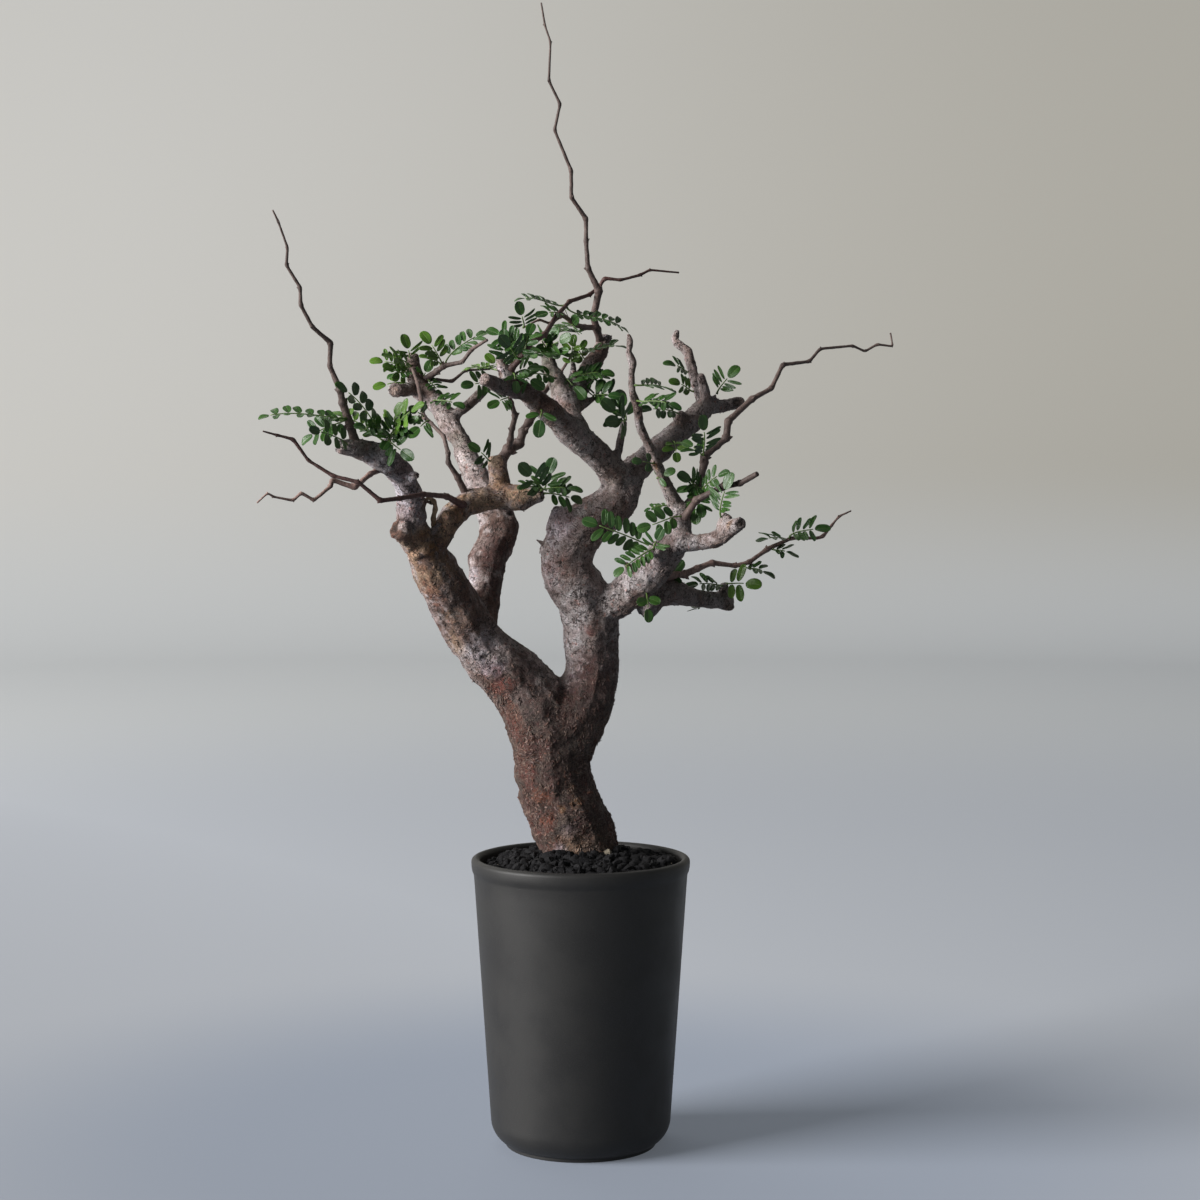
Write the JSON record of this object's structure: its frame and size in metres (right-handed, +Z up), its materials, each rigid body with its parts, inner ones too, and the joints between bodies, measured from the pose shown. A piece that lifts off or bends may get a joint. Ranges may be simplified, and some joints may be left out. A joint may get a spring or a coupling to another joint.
{
  "type": "bonsai tree in a pot",
  "caption": "Small broadleaf bonsai with a stout forked trunk, cut-back limbs, thin whips and small compound leaves, planted in gritty soil in a tapered round dark clay pot.",
  "frame": {"origin": "middle of the pot's flat foot, on the surface that the pot stands on", "axes": "+Z up along the pot's axis; -Y towards the tree's front; +X to the right seen from the front"},
  "size_m": [0.3358, 0.201, 0.6216],
  "materials": {
    "dark_clay": "matte",
    "soil_grit": "matte",
    "bark": "matte",
    "young_stem": "satin",
    "grown_leaf": "gloss",
    "young_leaf": "satin"
  },
  "bodies": {
    "root": {"crossing_shoot": "young_stem", "front_brown_twig": "young_stem", "leaf_01": "grown_leaf", "leaf_02": "grown_leaf", "leaf_03": "grown_leaf", "leaf_04": "grown_leaf", "leaf_05": "young_leaf", "leaf_06": "young_leaf", "leaf_07": "grown_leaf", "leaf_08": "grown_leaf", "leaf_09": "young_leaf", "leaf_10": "grown_leaf", "leaf_11": "young_leaf", "leaf_12": "grown_leaf", "leaf_13": "grown_leaf", "leaf_14": "grown_leaf", "leaf_15": "grown_leaf", "leaf_16": "young_leaf", "leaf_17": "grown_leaf", "leaf_18": "grown_leaf", "leaf_19": "grown_leaf", "leaf_20": "grown_leaf", "leaf_21": "grown_leaf", "leaf_22": "grown_leaf", "leaf_23": "grown_leaf", "leaf_24": "grown_leaf", "leaf_25": "grown_leaf", "leaf_26": "grown_leaf", "leaf_27": "grown_leaf", "leaf_28": "grown_leaf", "leaf_29": "grown_leaf", "leaf_30": "grown_leaf", "leaf_31": "grown_leaf", "leaf_32": "grown_leaf", "leaf_33": "grown_leaf", "leaf_34": "grown_leaf", "leaf_35": "grown_leaf", "leaf_36": "grown_leaf", "leaf_37": "grown_leaf", "leaf_38": "grown_leaf", "leaf_39": "young_leaf", "leaf_40": "grown_leaf", "leaf_41": "grown_leaf", "leaf_42": "grown_leaf", "leaf_43": "young_leaf", "left_crown_side_twig": "young_stem", "left_crown_twig": "young_stem", "left_low_twig": "young_stem", "left_pale_twig": "young_stem", "left_whip": "young_stem", "lower_right_twig": "young_stem", "middle_branchlet": "young_stem", "middle_branchlet_side": "young_stem", "pink_twig": "young_stem", "pot": "dark_clay", "right_whip": "young_stem", "short_right_twig": "young_stem", "soil": "soil_grit", "top_whip": "young_stem", "trunk_and_limbs": "bark"}
  },
  "joints": []
}
